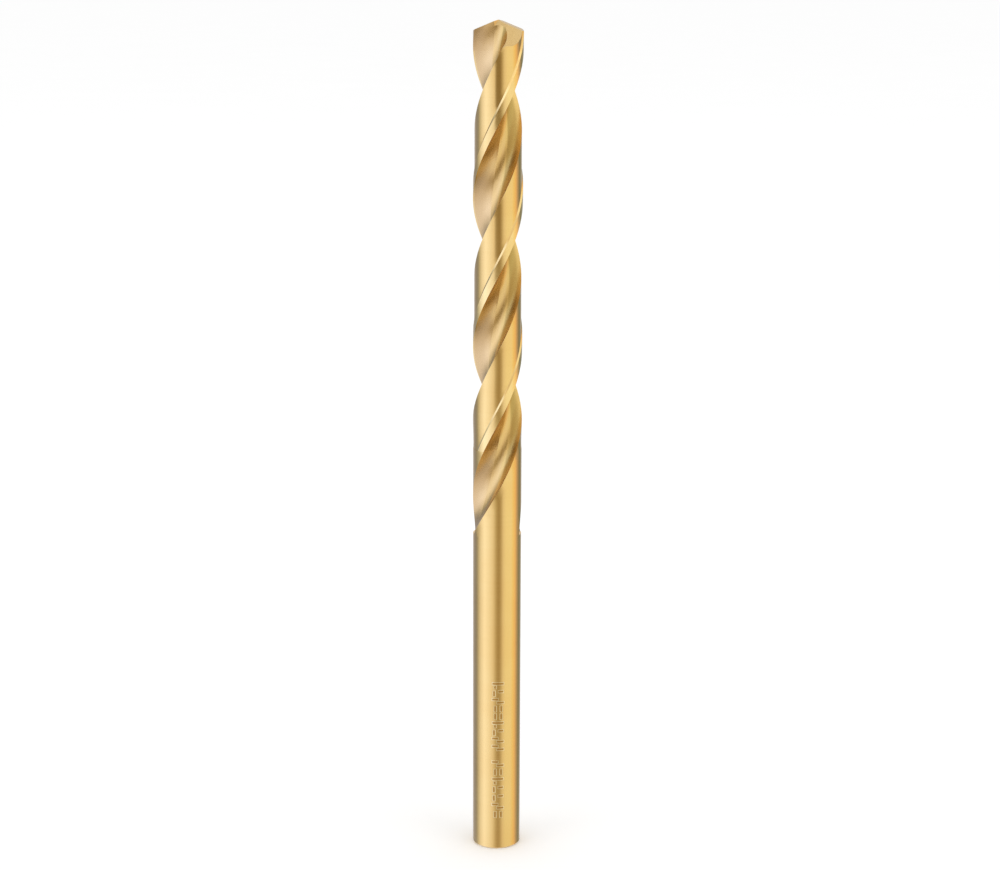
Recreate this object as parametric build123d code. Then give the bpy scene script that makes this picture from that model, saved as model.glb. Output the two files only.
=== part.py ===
from build123d import *
import os
from math import atan2, ceil, cos, hypot, pi, radians, sin, tan

os.makedirs("parts", exist_ok=True)

# Jobber-length twist drill, point up, millimetres.
# Origin: centre of the flat end of the shank. Z runs along the axis to the point.
# Azimuth 0 (the -Y side) is the front.

# ---- overall sizes ----
drill_diameter = 5.0
overall_length = 86.0
flute_length = 52.0
shank_diameter = 4.96
shank_chamfer = 0.15

# ---- flutes ----
helix_angle = 28.0
web_thickness = 0.88
web_taper_per_mm = 0.0214
lip_inner_radius = 0.35
flute_radius = 1.52
flute_sweep_angle = 155.0
flute_exit_radius = 25.5
flute_exit_widening = 0.9
flute_end_depth = 0.32
flute_lift_angle = 77.0
front_turn = 8.5

# ---- lands ----
back_taper_per_mm = 0.0005
margin_angle = 18.0
margin_step_angle = 4.0
body_clearance_depth = 0.16
clearance_loss_per_mm = 0.0015
clearance_end_depth = 0.04
clearance_fade_length = 4.0
heel_fade_start = 3.5
full_land_length = 1.3

# ---- point ----
point_angle = 135.0
point_zone_length = 3.0
lip_relief_angle = 12.0
heel_relief_angle = 51.0
lip_land_width = 1.0
chisel_half_width = 0.06
split_lip_run = 0.50
split_floor_rise = 0.35
split_floor_fall = 1.144
split_floor_drop = 0.12

# ---- modelling steps ----
section_step = 2.0
exit_section_step = 0.8
lead_curve_points = 9
cut_reach = 1.7
cut_overrun = 0.6
tool_size = 40.0

# ---- worked out from the sizes above ----
radius = drill_diameter / 2
shank_radius = shank_diameter / 2
half_point = radians(point_angle / 2)
lead = pi * drill_diameter / tan(radians(helix_angle))
twist = 2 * pi / lead
lip_offset = web_thickness / 2
lip_twist = twist / tan(half_point)
lift_per_mm = web_taper_per_mm / 2
flute_end_z = overall_length - flute_length
lip_fall = tan(radians(lip_relief_angle))
heel_fall = tan(radians(heel_relief_angle))
lip_top_z = overall_length + lip_fall * lip_offset
point_base_z = overall_length - point_zone_length


def turned(point, angle):
    """A flat point turned about the axis, the angle in radians."""
    x, y = point
    return (x * cos(angle) - y * sin(angle), x * sin(angle) + y * cos(angle))


def moved(point, lift):
    """A flat point carried outward along the flute's lifting direction."""
    along = radians(flute_lift_angle)
    return (point[0] + lift * cos(along), point[1] + lift * sin(along))


def lead_face(t):
    """Rake side of the flute: the curve that leaves a straight cutting lip on the point cone."""
    return turned((t, lip_offset), lip_twist * t)


# The back of the flute is an arc that carries on smoothly from the rake side.
small = 0.0001
inner = lead_face(lip_inner_radius)
ahead = lead_face(lip_inner_radius + small)
heading = atan2(ahead[1] - inner[1], ahead[0] - inner[0])


def arc_centre(r):
    return (inner[0] - r * sin(heading), inner[1] + r * cos(heading))


def back_arc(share, r):
    """A point on the back of the flute, from 0 at the web to 1 outside the heel."""
    centre = arc_centre(r)
    angle = heading - pi / 2 - radians(flute_sweep_angle) * share
    return (centre[0] + r * cos(angle), centre[1] + r * sin(angle))


core_radius = hypot(*arc_centre(flute_radius)) - flute_radius
full_depth = radius - core_radius


def rake_reach(lift, r):
    """Parameter where the rake side, moved outward by lift, meets a circle."""
    low = lip_inner_radius
    high = cut_reach * radius
    for _ in range(60):
        middle = (low + high) / 2
        x, y = moved(lead_face(middle), lift)
        if hypot(x, y) < r:
            low = middle
        else:
            high = middle
    return high


def heel_reach(lift, r, arc_r):
    """Share of the back arc where it meets a circle at the heel."""
    low = 0.2
    high = 1.0
    for _ in range(60):
        middle = (low + high) / 2
        x, y = moved(back_arc(middle, arc_r), lift)
        if hypot(x, y) < r:
            low = middle
        else:
            high = middle
    return high


def polar_angle(point):
    return atan2(point[1], point[0])


def exit_start_z():
    """Height where the grinding wheel starts to leave the flute."""
    left = full_depth - flute_end_depth - lift_per_mm * (overall_length - flute_end_z)
    return flute_end_z + (2 * flute_exit_radius * left) ** 0.5


exit_z = exit_start_z()
clearance_end_z = exit_z + full_land_length


def exit_lift(z):
    """How far the grinding wheel has left the flute at height z."""
    return max(0.0, exit_z - z) ** 2 / (2 * flute_exit_radius)


def lift_at(z):
    """How far the flute section has moved outward at height z."""
    return lift_per_mm * (overall_length - z) + exit_lift(z)


def arc_radius_at(z):
    """The back of the flute opens out where the wheel leaves it."""
    return flute_radius + flute_exit_widening * exit_lift(z) / full_depth


def land_radius(z):
    """Full radius at height z, with the back taper."""
    return radius - back_taper_per_mm / 2 * (overall_length - z)


def faded_clearance(z, end_z, end_depth):
    """Depth of the body clearance at height z where it runs out to end_depth at end_z."""
    share = min(1.0, max(0.0, (z - end_z) / clearance_fade_length))
    depth = body_clearance_depth - clearance_loss_per_mm * (overall_length - z)
    return end_depth + (depth - end_depth) * share * share * (3 - 2 * share)


def clearance_radius(z):
    """Radius just behind the margins, where the clearance runs furthest down."""
    return land_radius(z) - faded_clearance(z, clearance_end_z, clearance_end_depth)


def heel_radius(z):
    """Radius at the heel, where the clearance runs out first."""
    return land_radius(z) - faded_clearance(z, clearance_end_z + heel_fade_start, 0.0)


def placer(z):
    """Function that puts a point of the tip section at height z, lifted and twisted."""
    turn = twist * (z - overall_length)
    lift = lift_at(z)

    def place(point):
        x, y = turned(moved(point, lift), turn)
        return Vector(x, y, z)

    return place


def rake_points(t_from, t_to, count):
    return [lead_face(t_from + (t_to - t_from) * i / (count - 1)) for i in range(count)]


def circle_arc(r, start, end, z):
    """Arc about the axis between two angles at height z."""
    angles = (start, (start + end) / 2, end)
    points = [Vector(r * cos(a), r * sin(a), z) for a in angles]
    return Edge.make_three_point_arc(*points)


def land_arc(heel_r, start, r, end, z):
    """Arc over a land whose radius goes from heel_r at the heel to r behind the margin."""
    places = ((heel_r, start), ((heel_r + r) / 2, (start + end) / 2), (r, end))
    return Edge.make_three_point_arc(*[Vector(q * cos(a), q * sin(a), z) for q, a in places])


def land_edges(r, z, margins):
    """Outline of half the section: rake side, flute back, then the land up to the next rake."""
    place = placer(z)
    lift = lift_at(z)
    turn = twist * (z - overall_length)
    full_r = land_radius(z)
    heel_r = heel_radius(z)
    arc_r = arc_radius_at(z)
    rake_end = rake_reach(lift, full_r if margins else r)
    heel_end = heel_reach(lift, heel_r, arc_r)
    start = polar_angle(moved(back_arc(heel_end, arc_r), lift)) + turn
    end = polar_angle(moved(lead_face(rake_end), lift)) + turn + pi
    top = polar_angle(moved(lead_face(rake_reach(lift, full_r)), lift)) + turn + pi
    top = top - radians(margin_angle)
    foot = top - radians(margin_step_angle)
    rake = rake_points(rake_end, lip_inner_radius, lead_curve_points)
    edges = [
        Edge.make_spline([place(p) for p in rake]),
        Edge.make_three_point_arc(
            place(inner), place(back_arc(heel_end / 2, arc_r)), place(back_arc(heel_end, arc_r))
        ),
    ]
    edges.append(land_arc(heel_r, start, r, foot, z))
    if not margins:
        return edges + [circle_arc(r, foot, end, z)]
    foot_point = Vector(r * cos(foot), r * sin(foot), z)
    top_point = Vector(full_r * cos(top), full_r * sin(top), z)
    edges.append(Edge.make_line(foot_point, top_point))
    edges.append(circle_arc(full_r, top, end, z))
    return edges


def body_section(r, z, margins=False):
    """Whole section of the bar: two flutes and two lands."""
    half = land_edges(r, z, margins)
    other = [edge.rotate(Axis.Z, 180) for edge in half]
    return Wire(half + other)


def margin_section(z):
    """Section of one leading-edge strip, standing on the clearance diameter."""
    place = placer(z)
    lift = lift_at(z)
    turn = twist * (z - overall_length)
    full_r = land_radius(z)
    clear_r = clearance_radius(z)
    foot_t = rake_reach(lift, clear_r)
    top_t = rake_reach(lift, full_r)
    foot_angle = polar_angle(moved(lead_face(foot_t), lift)) + turn
    top_angle = polar_angle(moved(lead_face(top_t), lift)) + turn
    back = top_angle - radians(margin_angle)
    back_foot = back - radians(margin_step_angle)
    back_point = Vector(full_r * cos(back), full_r * sin(back), z)
    foot_point = Vector(clear_r * cos(back_foot), clear_r * sin(back_foot), z)
    edges = [
        Edge.make_spline([place(p) for p in rake_points(foot_t, top_t, 3)]),
        circle_arc(full_r, top_angle, back, z),
        Edge.make_line(back_point, foot_point),
        circle_arc(clear_r, back_foot, foot_angle, z),
    ]
    return Wire(edges)


def heights(low, high, step):
    count = ceil((high - low) / step)
    return [low + (high - low) * i / count for i in range(count + 1)]


def flute_section(z):
    """Closed outline of one flute cut at height z."""
    place = placer(z)
    rake = rake_points(lip_inner_radius, 1.3 * radius, lead_curve_points)
    arc_r = arc_radius_at(z)
    heel_end = back_arc(1.0, arc_r)
    lead_end = rake[-1]
    heel_side = atan2(heel_end[1], heel_end[0])
    lead_side = atan2(lead_end[1], lead_end[0])
    outer = cut_reach * radius
    far = []
    for share in (0.0, 0.5, 1.0):
        angle = heel_side + (lead_side - heel_side) * share
        far.append((outer * cos(angle), outer * sin(angle)))
    edges = [
        Edge.make_spline([place(p) for p in rake]),
        Edge.make_line(place(lead_end), place(far[2])),
        Edge.make_line(place(far[2]), place(far[1])),
        Edge.make_line(place(far[1]), place(far[0])),
        Edge.make_line(place(far[0]), place(heel_end)),
        Edge.make_three_point_arc(place(heel_end), place(back_arc(0.5, arc_r)), place(inner)),
    ]
    return Wire(edges)


def flute_heights():
    """Heights of the flute cut, from above the clearance body down past the flute end."""
    upper = heights(exit_z, clearance_end_z + cut_overrun, section_step)
    lower = heights(flute_end_z - cut_overrun, exit_z, exit_section_step)
    return lower[:-1] + upper


def both(shape):
    """The shape and its copy half a turn round."""
    return [shape, shape.rotate(Axis.Z, 180)]


def slug(r, z_low, z_high):
    """Round bar between two heights."""
    return Pos(0, 0, z_low) * Solid.make_cylinder(r, z_high - z_low)


def half_space(origin, normal):
    """A big block on the side of a plane that its normal points to."""
    block = Box(tool_size, tool_size, tool_size, align=(Align.CENTER, Align.CENTER, Align.MIN))
    return Plane(origin=origin, z_dir=normal) * block


def flank_cuts():
    """Blocks that leave the lip relief and the steeper heel relief behind one lip."""
    slope = 1 / tan(half_point)
    lip_point = (0, lip_offset, lip_top_z)
    heel_start = lip_offset - lip_land_width
    heel_point = (0, heel_start, lip_top_z - lip_fall * lip_land_width)
    return [
        half_space(lip_point, (slope, -lip_fall, 1)),
        half_space(heel_point, (slope, -heel_fall, 1)),
    ]


def split_cut():
    """Wedge ground into the web beside the chisel edge (split point)."""
    floor_point = (0, -chisel_half_width, lip_top_z - split_floor_drop)
    floor = half_space(floor_point, (-split_floor_rise, -split_floor_fall, 1))
    run = (-split_lip_run, chisel_half_width - lip_offset)
    rake = half_space((0, -chisel_half_width, lip_top_z), (-run[1], run[0], 0))
    return floor & rake


# ---- solids ----
shank = slug(shank_radius, 0, flute_end_z)
shank = chamfer(shank.edges().sort_by(Axis.Z)[0], shank_chamfer)

flute = Solid.make_loft([flute_section(z) for z in flute_heights()])
runout_height = clearance_end_z - flute_end_z
flute_runout = Solid.make_cone(
    land_radius(flute_end_z), land_radius(clearance_end_z), runout_height
)
flute_runout = Pos(0, 0, flute_end_z) * flute_runout
for cutter in both(flute):
    flute_runout = flute_runout - cutter

body_heights = heights(clearance_end_z, point_base_z, section_step)
fluted_body = Solid.make_loft([body_section(clearance_radius(z), z) for z in body_heights])
margins = both(Solid.make_loft([margin_section(z) for z in body_heights]))

point_heights = heights(point_base_z, overall_length + cut_overrun, section_step)
point_sections = [body_section(clearance_radius(z), z, True) for z in point_heights]
drill_point = Solid.make_loft(point_sections)
for block in flank_cuts() + [split_cut()]:
    for cutter in both(block):
        drill_point = drill_point - cutter

nodes = {
    "shank": shank,
    "flute_runout": flute_runout,
    "fluted_body": fluted_body,
    "margin_1": margins[0],
    "margin_2": margins[1],
    "drill_point": drill_point,
}

for name, shape in nodes.items():
    placed = shape.rotate(Axis.Z, front_turn)
    export_step(placed, os.path.join("parts", name + ".step"))
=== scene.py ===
"""A gold-coated twist drill, standing on its shank in plain studio light."""

import math

import bmesh
import bpy
from mathutils import Matrix, Vector


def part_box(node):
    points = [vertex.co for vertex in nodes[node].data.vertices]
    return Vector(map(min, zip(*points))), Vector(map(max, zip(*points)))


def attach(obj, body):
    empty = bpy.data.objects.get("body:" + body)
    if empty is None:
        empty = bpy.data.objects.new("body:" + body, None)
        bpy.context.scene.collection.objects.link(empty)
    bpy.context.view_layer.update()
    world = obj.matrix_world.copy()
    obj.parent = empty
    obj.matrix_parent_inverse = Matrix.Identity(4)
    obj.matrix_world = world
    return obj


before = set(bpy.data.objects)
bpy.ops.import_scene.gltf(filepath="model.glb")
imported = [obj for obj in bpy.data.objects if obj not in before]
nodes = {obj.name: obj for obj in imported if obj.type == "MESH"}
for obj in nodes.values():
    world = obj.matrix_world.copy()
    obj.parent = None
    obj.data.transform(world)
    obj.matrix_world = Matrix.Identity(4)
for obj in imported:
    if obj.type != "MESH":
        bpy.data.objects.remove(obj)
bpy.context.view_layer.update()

MM = 0.001
SHANK_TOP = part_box("shank")[1].z / MM
BODY_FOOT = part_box("fluted_body")[0].z / MM
POINT_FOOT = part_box("drill_point")[0].z / MM
SHANK_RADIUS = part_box("shank")[1].x / MM
LAND_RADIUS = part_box("margin_1")[1].x / MM
BODY_CLEARANCE = 0.16
CLEARED_RADIUS = LAND_RADIUS - BODY_CLEARANCE

# ---------------------------------------------------------------- camera
LENS_PX = 2135.0
FRAME_PX = 1000.0
SENSOR_MM = 36.0
CAMERA_DISTANCE = 0.2181
CAMERA_PITCH = math.radians(13.0)
CAMERA_ROLL = math.radians(0.18)
TARGET = Vector((0.00027, 0.0, 0.04432))
CLIP = (0.001, 20.0)


def add_camera():
    data = bpy.data.cameras.new("camera")
    data.sensor_width = SENSOR_MM
    data.lens = LENS_PX / FRAME_PX * SENSOR_MM
    data.clip_start, data.clip_end = CLIP
    camera = bpy.data.objects.new("camera", data)
    bpy.context.scene.collection.objects.link(camera)
    back = Vector((0.0, -math.cos(CAMERA_PITCH), math.sin(CAMERA_PITCH)))
    spot = TARGET + back * CAMERA_DISTANCE
    turn = Matrix.Rotation(math.radians(90.0) - CAMERA_PITCH, 4, "X")
    roll = Matrix.Rotation(CAMERA_ROLL, 4, "Z")
    camera.matrix_world = Matrix.Translation(spot) @ turn @ roll
    bpy.context.scene.camera = camera


# ---------------------------------------------------------------- node helper
# sockets of the Mix node when it mixes colours
MIX_COLOUR_A, MIX_COLOUR_B, MIX_COLOUR_OUT = 6, 7, 2


class Shader:
    """A node tree with one short call for each node. Lengths are in millimetres."""

    def __init__(self, name):
        self.material = bpy.data.materials.new(name)
        self.material.use_nodes = True
        self.tree = self.material.node_tree
        self.surface = self.tree.nodes["Principled BSDF"]
        coordinates = self.add("ShaderNodeTexCoord")
        scaled = self.add("ShaderNodeVectorMath", operation="SCALE")
        self.put(scaled, 0, coordinates.outputs["Object"])
        scaled.inputs["Scale"].default_value = 1.0 / MM
        self.place = scaled.outputs[0]
        self.x, self.y, self.z = self.split(self.place)

    def add(self, kind, **settings):
        node = self.tree.nodes.new(kind)
        for key, value in settings.items():
            setattr(node, key, value)
        return node

    def put(self, node, socket, value):
        """Links a socket to the node's input, or sets the input to a number."""
        if isinstance(value, bpy.types.NodeSocket):
            self.tree.links.new(value, node.inputs[socket])
        else:
            node.inputs[socket].default_value = value

    def split(self, vector):
        node = self.add("ShaderNodeSeparateXYZ")
        self.put(node, 0, vector)
        return node.outputs[0], node.outputs[1], node.outputs[2]

    def axis_distance(self):
        node = self.add("ShaderNodeVectorMath", operation="LENGTH")
        self.put(node, 0, self.join(self.x, self.y, 0.0))
        return node.outputs["Value"]

    def join(self, x, y, z):
        node = self.add("ShaderNodeCombineXYZ")
        for socket, value in enumerate((x, y, z)):
            self.put(node, socket, value)
        return node.outputs[0]

    def sum(self, operation, a, b=0.0):
        node = self.add("ShaderNodeMath", operation=operation)
        self.put(node, 0, a)
        self.put(node, 1, b)
        return node.outputs[0]

    def span(self, value, low, high, to_low=0.0, to_high=1.0):
        """value from low..high to to_low..to_high, held at the ends and eased."""
        node = self.add("ShaderNodeMapRange", interpolation_type="SMOOTHSTEP")
        for socket, v in enumerate((value, low, high, to_low, to_high)):
            self.put(node, socket, v)
        return node.outputs[0]

    def noise(self, vector, scale, detail=3.0, roughness=0.5):
        node = self.add("ShaderNodeTexNoise")
        self.put(node, "Vector", vector)
        self.put(node, "Scale", scale)
        self.put(node, "Detail", detail)
        self.put(node, "Roughness", roughness)
        return node.outputs["Fac"]

    def ramp(self, share, stops):
        """The colours of stops, each (degrees, red, green, blue), with -180..180 degrees spread over 0..1."""
        node = self.add("ShaderNodeValToRGB")
        self.put(node, 0, share)
        elements = node.color_ramp.elements
        elements.remove(elements[-1])
        for degrees, *colour in stops:
            position = (degrees + 180.0) / 360.0
            element = elements[0] if degrees == stops[0][0] else elements.new(position)
            element.position = position
            element.color = (*colour, 1.0)
        return node.outputs[0]

    def mix(self, share, a, b):
        node = self.add("ShaderNodeMix", data_type="RGBA")
        self.put(node, 0, share)
        for socket, value in ((MIX_COLOUR_A, a), (MIX_COLOUR_B, b)):
            self.put(node, socket, value if isinstance(value, bpy.types.NodeSocket) else (*value, 1.0))
        return node.outputs[MIX_COLOUR_OUT]


# ---------------------------------------------------------------- coating
# colours of the coating: on the lands and shank; in the flutes darker and browner, which is painted shade,
# with painted shade and a greyer painted tone on the flute walls by which way they face; on the facets; and
# worn at edges
COAT = (0.82, 0.565, 0.235)
COAT_LIGHT = (0.88, 0.65, 0.31)
COAT_WARM = (0.80, 0.52, 0.20)
COAT_DEEP = (0.68, 0.43, 0.16)
# painted shade: the flute colours below are darker and browner than the lands', darker at the heel and greyer
# at the rake
FLUTE_SHADED_COAT = (0.72, 0.495, 0.23)
FLUTE_SHADED_DEEP = (0.58, 0.385, 0.165)
RAKE_PAINTED_TONE = (0.76, 0.53, 0.28)
HEEL_SHADED_COAT = (0.72, 0.50, 0.20)
HEEL_PAINTED_SHADE = (0.47, 0.32, 0.11)
POINT_COAT = (0.80, 0.58, 0.28)
WORN = (0.93, 0.80, 0.55)
# advance of the helix in one turn
LEAD = 29.54
# noise scales in cycles per millimetre: slow drift of the colour, and fine grain of the metal
DRIFT_SCALE = 0.22
GRAIN_SCALE = 9.0
# grinding lines as scales (across, along): round the axis, along the helix, and straight across
SHANK_LINES = (0.15, 7.0)
LAND_LINES = (0.15, 6.0)
FLUTE_LINES = (5.0, 0.22)
FACET_LINES = (6.0, 1.0)
# how much the lines tint each face
ROUND_TINT = 0.10
FLUTE_TINT = 0.22
FACET_TINT = 0.25
# roughness of each face, and how much duller a flute is than a land
SHANK_ROUGHNESS = 0.17
MARGIN_ROUGHNESS = 0.16
FLUTED_ROUGHNESS = 0.18
FLUTE_DULLER = 0.09
# heights of the grinding lines in millimetres
ROUND_GRAIN = 0.0005
FLUTED_GRAIN = 0.0012
BUMP_STRENGTH = 0.6
LAND_LINE_SHARE = 0.4
# worn edges: width in millimetres, bend of the normal where wear starts and is full, and its strength
EDGE_WIDTH = 0.05
EDGE_BEND = (0.985, 0.86)
EDGE_WEAR = 0.5
# how a wall faces round the axis where a flute turns into its rake wall, its heel wall and the heel's edge,
# over which these spans blend in each wall's painted shade or tone
RAKE_TONE_FACING = (0.25, 0.85)
HEEL_SHADE_FACING = (-0.60, -0.80)
HEEL_EDGE_SHADE_FACING = (-0.84, -0.93)
# a land lies this far within its radius, and faces round the axis this little
LAND_DEPTH = (0.06, 0.01)
LAND_FACING = (0.7, 0.4)
# upward part of the normal where a flute ends and a facet starts
FACET_NORMAL = (0.48, 0.56)


def edge_mask(s, joins):
    """1 at the solid's sharp edges and 0 elsewhere, and 0 at the planes where it joins the next zone."""
    soft = s.add("ShaderNodeBevel", samples=4)
    s.put(soft, "Radius", EDGE_WIDTH * MM)
    plain = s.add("ShaderNodeNewGeometry")
    dot = s.add("ShaderNodeVectorMath", operation="DOT_PRODUCT")
    s.put(dot, 0, soft.outputs[0])
    s.put(dot, 1, plain.outputs["Normal"])
    mask = s.span(dot.outputs["Value"], *EDGE_BEND)
    for z in joins:
        gap = s.sum("ABSOLUTE", s.sum("SUBTRACT", s.z, z))
        mask = s.sum("MULTIPLY", mask, s.span(gap, EDGE_WIDTH * 1.2, EDGE_WIDTH * 2.5))
    return mask


def untwisted(s):
    """The place with the helix taken out, so that what follows a flute lies straight along Z."""
    node = s.add("ShaderNodeVectorRotate", rotation_type="Z_AXIS")
    s.put(node, "Vector", s.place)
    s.put(node, "Angle", s.sum("MULTIPLY", s.z, -2.0 * math.pi / LEAD))
    return node.outputs[0]


def stretched(s, vector, across, along):
    """vector with its X and Y scaled by across, and its Z by along."""
    node = s.add("ShaderNodeVectorMath", operation="MULTIPLY")
    s.put(node, 0, vector)
    s.put(node, 1, (across, across, along))
    return node.outputs[0]


def ground(s, vector, line_scales, tint, deep, strength):
    """(colour, lines) of a ground and coated face whose grinding lines follow the stretched vector."""
    lines = s.noise(stretched(s, vector, *line_scales), 1.0, detail=4.0, roughness=0.6)
    drift = s.span(s.noise(s.place, DRIFT_SCALE, detail=2.0), 0.38, 0.68)
    colour = s.mix(drift, tint, s.mix(0.5, tint, COAT_WARM))
    colour = s.mix(s.span(lines, 0.5, 0.72, 0.0, strength), colour, COAT_LIGHT)
    colour = s.mix(s.span(lines, 0.5, 0.28, 0.0, strength), colour, deep)
    return colour, lines


def finish_coat(s, colour, lines, roughness, grain_depth, joins, duller=0.0):
    """Sets the surface from its colour and lines, with worn edges, uneven gloss and bump."""
    fine = s.noise(s.place, GRAIN_SCALE, detail=2.0)
    edge = s.sum("MULTIPLY", edge_mask(s, joins), s.span(fine, 0.3, 0.6, 0.4 * EDGE_WEAR, EDGE_WEAR))
    s.put(s.surface, "Base Color", s.mix(edge, colour, WORN))
    s.put(s.surface, "Metallic", 1.0)
    uneven = s.sum("ADD", s.sum("MULTIPLY", lines, 0.6), s.sum("MULTIPLY", fine, 0.4))
    gloss = s.span(uneven, 0.3, 0.7, roughness - 0.03, roughness + 0.05)
    s.put(s.surface, "Roughness", s.sum("ADD", gloss, duller))
    bump = s.add("ShaderNodeBump")
    s.put(bump, "Strength", BUMP_STRENGTH)
    s.put(bump, "Distance", grain_depth * MM)
    s.put(bump, "Height", s.sum("ADD", lines, s.sum("MULTIPLY", fine, 0.3)))
    s.put(s.surface, "Normal", bump.outputs[0])
    return s.material


def round_coat(name, roughness, joins, tint=COAT):
    """A cylindrical face, ground round its axis."""
    s = Shader(name)
    colour, lines = ground(s, s.place, SHANK_LINES, tint, COAT_DEEP, ROUND_TINT)
    return finish_coat(s, colour, lines, roughness, ROUND_GRAIN, joins)


def fluted_coat(name, land_radius, joins, facets=False):
    """Lands ground round the axis, flutes ground along the helix with painted shade that makes them darker
    and browner than the lands, darker still at the heel's edge and greyer on the rake wall, and the point's
    facets ground straight across."""
    s = Shader(name)
    land, land_lines = ground(s, s.place, LAND_LINES, COAT, COAT_DEEP, ROUND_TINT)
    # the flutes' colour is painted shade, darker and browner than the lands
    flute, flute_lines = ground(s, untwisted(s), FLUTE_LINES, FLUTE_SHADED_COAT, FLUTE_SHADED_DEEP, FLUTE_TINT)
    side = facing(s)
    # painted shade: each flute wall is darkened or greyed by which way it faces round the axis
    flute = s.mix(s.span(side, *RAKE_TONE_FACING), flute, RAKE_PAINTED_TONE)
    flute = s.mix(s.span(side, *HEEL_SHADE_FACING), flute, HEEL_SHADED_COAT)
    flute = s.mix(s.span(side, *HEEL_EDGE_SHADE_FACING), flute, HEEL_PAINTED_SHADE)
    on_land = s.span(s.axis_distance(), *(land_radius - depth for depth in LAND_DEPTH))
    on_land = s.sum("MULTIPLY", on_land, s.span(s.sum("ABSOLUTE", side), *LAND_FACING))
    off_land = s.sum("SUBTRACT", 1.0, on_land)
    colour = s.mix(on_land, flute, land)
    lines = s.sum("ADD", s.sum("MULTIPLY", land_lines, s.sum("MULTIPLY", on_land, LAND_LINE_SHARE)),
                  s.sum("MULTIPLY", flute_lines, off_land))
    if facets:
        facet, facet_lines = ground(s, s.place, FACET_LINES, POINT_COAT, COAT_DEEP, FACET_TINT)
        upward = s.split(s.add("ShaderNodeNewGeometry").outputs["Normal"])[2]
        on_facet = s.span(upward, *FACET_NORMAL)
        colour = s.mix(on_facet, colour, facet)
        lines = s.sum("ADD", s.sum("MULTIPLY", lines, s.sum("SUBTRACT", 1.0, on_facet)),
                      s.sum("MULTIPLY", facet_lines, on_facet))
    duller = s.sum("MULTIPLY", off_land, FLUTE_DULLER)
    return finish_coat(s, colour, lines, FLUTED_ROUGHNESS, FLUTED_GRAIN, joins, duller)


def facing(s):
    """How far a wall faces round the axis: 1 on the rake side of a flute, -1 on its heel side."""
    normal = s.add("ShaderNodeNewGeometry").outputs["Normal"]
    nx, ny, _ = s.split(normal)
    across = s.sum("SUBTRACT", s.sum("MULTIPLY", s.x, ny), s.sum("MULTIPLY", s.y, nx))
    return s.sum("DIVIDE", across, s.axis_distance())


def dress(name, material):
    data = nodes[name].data
    data.materials.clear()
    data.materials.append(material)


# ---------------------------------------------------------------- shank mark
# plain strokes in two groups, where the real shank has its etched lettering; lengths in millimetres
MARK_TURN = math.radians(3.5)
MARK_HALF_HEIGHT = 0.60
# (top, number of signs, pitch) of each group
MARK_GROUPS = ((18.6, 9, 0.86), (10.0, 7, 0.95))
STROKE_WIDTH = 0.20
RIM_WIDTH = 0.34
# how far a stroke and its rim stand out of the shank, how deep they reach into it, and their facets' length
STROKE_PROUD = 0.008
RIM_PROUD = 0.004
STROKE_ROOT = 0.02
STROKE_STEP = 0.2
# colours and roughness of the etched strokes and of their rims; the rims' light colours are a painted
# highlight along the strokes' edges
ETCH = ((0.64, 0.37, 0.11), (0.54, 0.29, 0.08), 0.30)
RIM_PAINTED_HIGHLIGHT = ((1.0, 0.86, 0.56), (0.92, 0.74, 0.42), 0.26)
SPECKLE_SCALE = 14.0
SPECKLE_DEPTH = 0.002
# strokes of one sign: (along, across) of both ends as shares of its cell
SIGNS = (
    ((0.25, 0.10, 0.25, 0.90), (0.66, 0.24, 0.72, 0.24)),
    ((0.22, 0.26, 0.66, 0.26), (0.22, 0.78, 0.66, 0.78)),
    ((0.25, 0.08, 0.25, 0.42), (0.65, 0.50, 0.65, 0.92)),
    ((0.25, 0.62, 0.25, 0.88), (0.30, 0.16, 0.70, 0.16)),
)


def on_shank(across, z, proud):
    """Point on the shank's surface, across millimetres round from the mark's middle line."""
    turn = MARK_TURN + across / SHANK_RADIUS
    reach = SHANK_RADIUS + proud
    return Vector((reach * math.sin(turn), -reach * math.cos(turn), z)) * MM


def add_stroke(mesh, start, end, width, proud):
    """A thin closed strip from start to end, each (across, z), curved with the shank."""
    run = Vector(end) - Vector(start)
    along = run.normalized() * (width / 2.0)
    side = Vector((-along.y, along.x))
    first, last = Vector(start) - along, Vector(end) + along
    count = max(1, math.ceil((last - first).length / STROKE_STEP))
    rings = []
    for i in range(count + 1):
        middle = first.lerp(last, i / count)
        ring = []
        for edge, height in ((-1, -STROKE_ROOT), (1, -STROKE_ROOT), (1, proud), (-1, proud)):
            spot = middle + side * edge
            ring.append(mesh.verts.new(on_shank(spot.x, spot.y, height)))
        rings.append(ring)
    for low, high in zip(rings, rings[1:]):
        for i in range(4):
            mesh.faces.new((low[i], low[(i + 1) % 4], high[(i + 1) % 4], high[i]))
    mesh.faces.new(rings[0][::-1])
    mesh.faces.new(rings[-1])


def add_mark(name, width, proud, material):
    """Both groups of the mark, as one piece of thin strips."""
    mesh = bmesh.new()
    for group, (top, cells, pitch) in enumerate(MARK_GROUPS):
        for cell in range(cells):
            for u0, v0, u1, v1 in SIGNS[(cell * 3 + cell // 4 + group * 2) % len(SIGNS)]:
                ends = [((2.0 * v - 1.0) * MARK_HALF_HEIGHT, top - (cell + u) * pitch)
                        for u, v in ((u0, v0), (u1, v1))]
                add_stroke(mesh, *ends, width, proud)
    bmesh.ops.recalc_face_normals(mesh, faces=mesh.faces)
    data = bpy.data.meshes.new(name)
    mesh.to_mesh(data)
    mesh.free()
    data.materials.append(material)
    piece = bpy.data.objects.new(name, data)
    bpy.context.scene.collection.objects.link(piece)
    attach(piece, "root")


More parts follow.
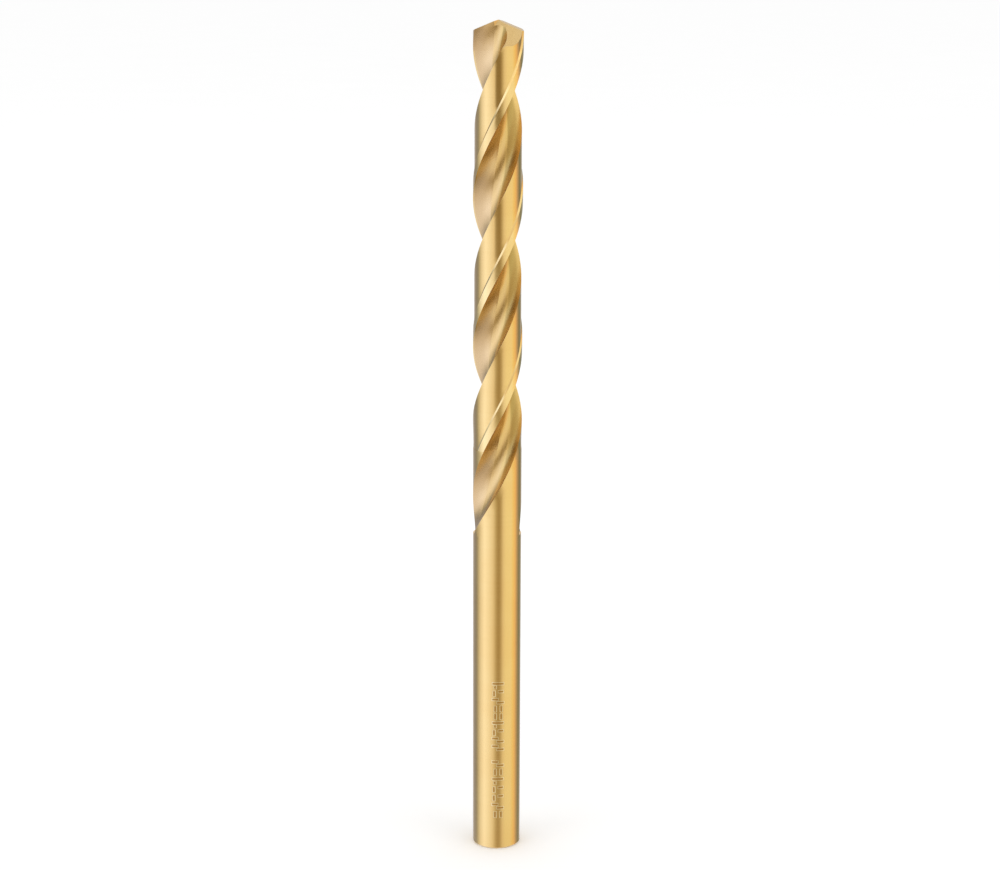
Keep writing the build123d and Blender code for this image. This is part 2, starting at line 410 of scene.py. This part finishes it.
def etched(name, tint, deep, roughness):
    """Coating roughened by the marking, in the colours given; for the rims these are a painted highlight."""
    s = Shader(name)
    speckle = s.noise(s.place, SPECKLE_SCALE, detail=3.0)
    s.put(s.surface, "Base Color", s.mix(s.span(speckle, 0.35, 0.65), tint, deep))
    s.put(s.surface, "Metallic", 1.0)
    s.put(s.surface, "Roughness", s.span(speckle, 0.3, 0.7, roughness - 0.05, roughness + 0.08))
    bump = s.add("ShaderNodeBump")
    s.put(bump, "Strength", BUMP_STRENGTH)
    s.put(bump, "Distance", SPECKLE_DEPTH * MM)
    s.put(bump, "Height", speckle)
    s.put(s.surface, "Normal", bump.outputs[0])
    return s.material


# ---------------------------------------------------------------- studio
# what the metal mirrors level with it, by degrees round it from the front: red, green and blue levels
RING = (
    (-180, 0.80, 0.80, 0.85), (-160, 0.60, 0.62, 0.70), (-135, 0.34, 0.38, 0.52), (-112, 0.36, 0.40, 0.48),
    (-98, 0.68, 0.72, 0.74), (-84, 1.00, 1.06, 1.22), (-62, 1.28, 1.40, 1.70), (-40, 1.14, 1.22, 1.38),
    (-19, 0.98, 0.97, 0.95), (-3, 0.58, 0.52, 0.36), (8, 0.44, 0.36, 0.22), (18, 0.56, 0.50, 0.34),
    (30, 0.94, 0.90, 0.78), (44, 1.06, 1.06, 0.88), (72, 1.08, 1.08, 0.90), (84, 1.08, 0.96, 0.58),
    (97, 1.04, 0.78, 0.50), (112, 0.56, 0.48, 0.42), (130, 0.22, 0.27, 0.25), (150, 0.40, 0.42, 0.44),
    (180, 0.80, 0.80, 0.85),
)
# and what it mirrors below, where the pale table is
TABLE = (
    (-180, 0.80, 0.80, 0.85), (-90, 1.00, 1.05, 1.20), (-50, 0.98, 1.02, 1.15), (-15, 0.86, 0.86, 0.90),
    (5, 0.78, 0.75, 0.74), (30, 0.56, 0.53, 0.51), (60, 0.48, 0.45, 0.42), (110, 0.66, 0.64, 0.60),
    (180, 0.80, 0.80, 0.85),
)
# lit panels above, and two dark cards in front
UPPER = (1.40, 1.40, 1.22)
TOP = (0.82, 0.80, 0.76)
CAMERA_CARD = (0.30, 0.24, 0.13)
FRONT_CARD = (0.92, 0.81, 0.60)
# where each begins and is full, in degrees up from level
UPPER_RISE = (26.0, 38.0)
TOP_RISE = (44.0, 56.0)
TABLE_FALL = (-22.0, -40.0)
# each card's fading edges: to the sides, below and above, in degrees
CAMERA_CARD_EDGES = ((20.0, 6.0), (-14.0, -2.0), (20.0, 10.0))
FRONT_CARD_EDGES = ((40.0, 24.0), (8.0, 15.0), (38.0, 30.0))
TENT_RADIUS = 1.5
MIDDLE = (0.0, 0.0, 0.043)


def add_surround():
    """A tent of lit and dark panels round the object. Only reflections see it."""
    bpy.ops.mesh.primitive_uv_sphere_add(segments=64, ring_count=32, radius=TENT_RADIUS, location=MIDDLE)
    tent = bpy.context.object
    tent.name = "studio_tent"
    s = Shader("tent_light")
    direction = s.add("ShaderNodeVectorMath", operation="NORMALIZE")
    s.put(direction, 0, s.place)
    x, y, z = s.split(direction.outputs[0])
    turn = s.sum("ARCTAN2", x, s.sum("MULTIPLY", y, -1.0))
    share = s.sum("ADD", s.sum("MULTIPLY", turn, 0.5 / math.pi), 0.5)
    height = s.sum("MULTIPLY", s.sum("ARCSINE", z), 180.0 / math.pi)
    off_front = s.sum("MULTIPLY", s.sum("ABSOLUTE", turn), 180.0 / math.pi)
    colour = s.mix(s.span(height, *UPPER_RISE), s.ramp(share, RING), UPPER)
    colour = s.mix(s.span(height, *TOP_RISE), colour, TOP)
    for tint, (sides, below, above) in ((FRONT_CARD, FRONT_CARD_EDGES), (CAMERA_CARD, CAMERA_CARD_EDGES)):
        card = s.sum("MULTIPLY", s.span(off_front, *sides), s.span(height, *below))
        card = s.sum("MULTIPLY", card, s.span(height, *above))
        colour = s.mix(card, colour, tint)
    colour = s.mix(s.span(height, *TABLE_FALL), colour, s.ramp(share, TABLE))
    glow = s.add("ShaderNodeEmission")
    s.put(glow, "Color", colour)
    s.put(s.tree.nodes["Material Output"], "Surface", glow.outputs[0])
    s.tree.nodes.remove(s.surface)
    tent.data.materials.append(s.material)
    tent.visible_camera = False
    tent.visible_diffuse = False
    tent.visible_shadow = False
    tent.visible_transmission = False


FLOOR_SIZE = 8.0
FLOOR_DARKER = (0.975, 0.975, 0.975)
FLOOR_LIGHTER = (0.99, 0.99, 0.99)
LAMP_SIZE = 0.6
LAMP_WATTS = 0.9
LAMP_TARGET = Vector((0.0, 0.0, 0.04))


def add_floor():
    bpy.ops.mesh.primitive_plane_add(size=FLOOR_SIZE, location=(0, 0, 0))
    floor = bpy.context.object
    floor.name = "floor"
    s = Shader("pale_floor")
    grain = s.noise(s.place, 0.02, detail=4.0)
    s.put(s.surface, "Base Color", s.mix(grain, FLOOR_DARKER, FLOOR_LIGHTER))
    s.put(s.surface, "Roughness", 0.9)
    s.put(s.surface, "Specular IOR Level", 0.0)
    floor.data.materials.append(s.material)
    floor.visible_glossy = False


def add_lamp(name, spot):
    """A weak area lamp that gives the floor its shadow. Neither the camera nor reflections see it."""
    data = bpy.data.lights.new(name, "AREA")
    data.size = LAMP_SIZE
    data.energy = LAMP_WATTS
    lamp = bpy.data.objects.new(name, data)
    bpy.context.scene.collection.objects.link(lamp)
    lamp.location = spot
    lamp.rotation_euler = (LAMP_TARGET - Vector(spot)).to_track_quat("-Z", "Y").to_euler()
    lamp.visible_camera = False
    lamp.visible_glossy = False


def add_world():
    world = bpy.data.worlds.new("studio")
    bpy.context.scene.world = world
    world.use_nodes = True
    background = world.node_tree.nodes["Background"]
    background.inputs["Color"].default_value = (1, 1, 1, 1)
    background.inputs["Strength"].default_value = 1.0
    bpy.context.scene.view_settings.view_transform = "Standard"


add_camera()
add_world()
add_surround()
add_floor()
add_lamp("lamp_left", (-0.7, -0.5, 0.7))
add_lamp("lamp_right", (0.7, -0.5, 0.7))

dress("shank", round_coat("shank_coating", SHANK_ROUGHNESS, joins=(SHANK_TOP,)))
dress("flute_runout", fluted_coat("runout_coating", LAND_RADIUS, joins=(SHANK_TOP, BODY_FOOT)))
dress("fluted_body", fluted_coat("flute_coating", CLEARED_RADIUS, joins=(BODY_FOOT, POINT_FOOT)))
margin = round_coat("margin_coating", MARGIN_ROUGHNESS, joins=(BODY_FOOT, POINT_FOOT), tint=COAT_LIGHT)
dress("margin_1", margin)
dress("margin_2", margin)
dress("drill_point", fluted_coat("point_coating", CLEARED_RADIUS, joins=(POINT_FOOT,), facets=True))

# the rims: thin strips round the strokes whose light colour paints the highlight along the strokes' edges
add_mark("mark_rims_painted_highlight", RIM_WIDTH, RIM_PROUD, etched("mark_rim_painted_highlight", *RIM_PAINTED_HIGHLIGHT))
add_mark("mark_strokes", STROKE_WIDTH, STROKE_PROUD, etched("mark_etch", *ETCH))
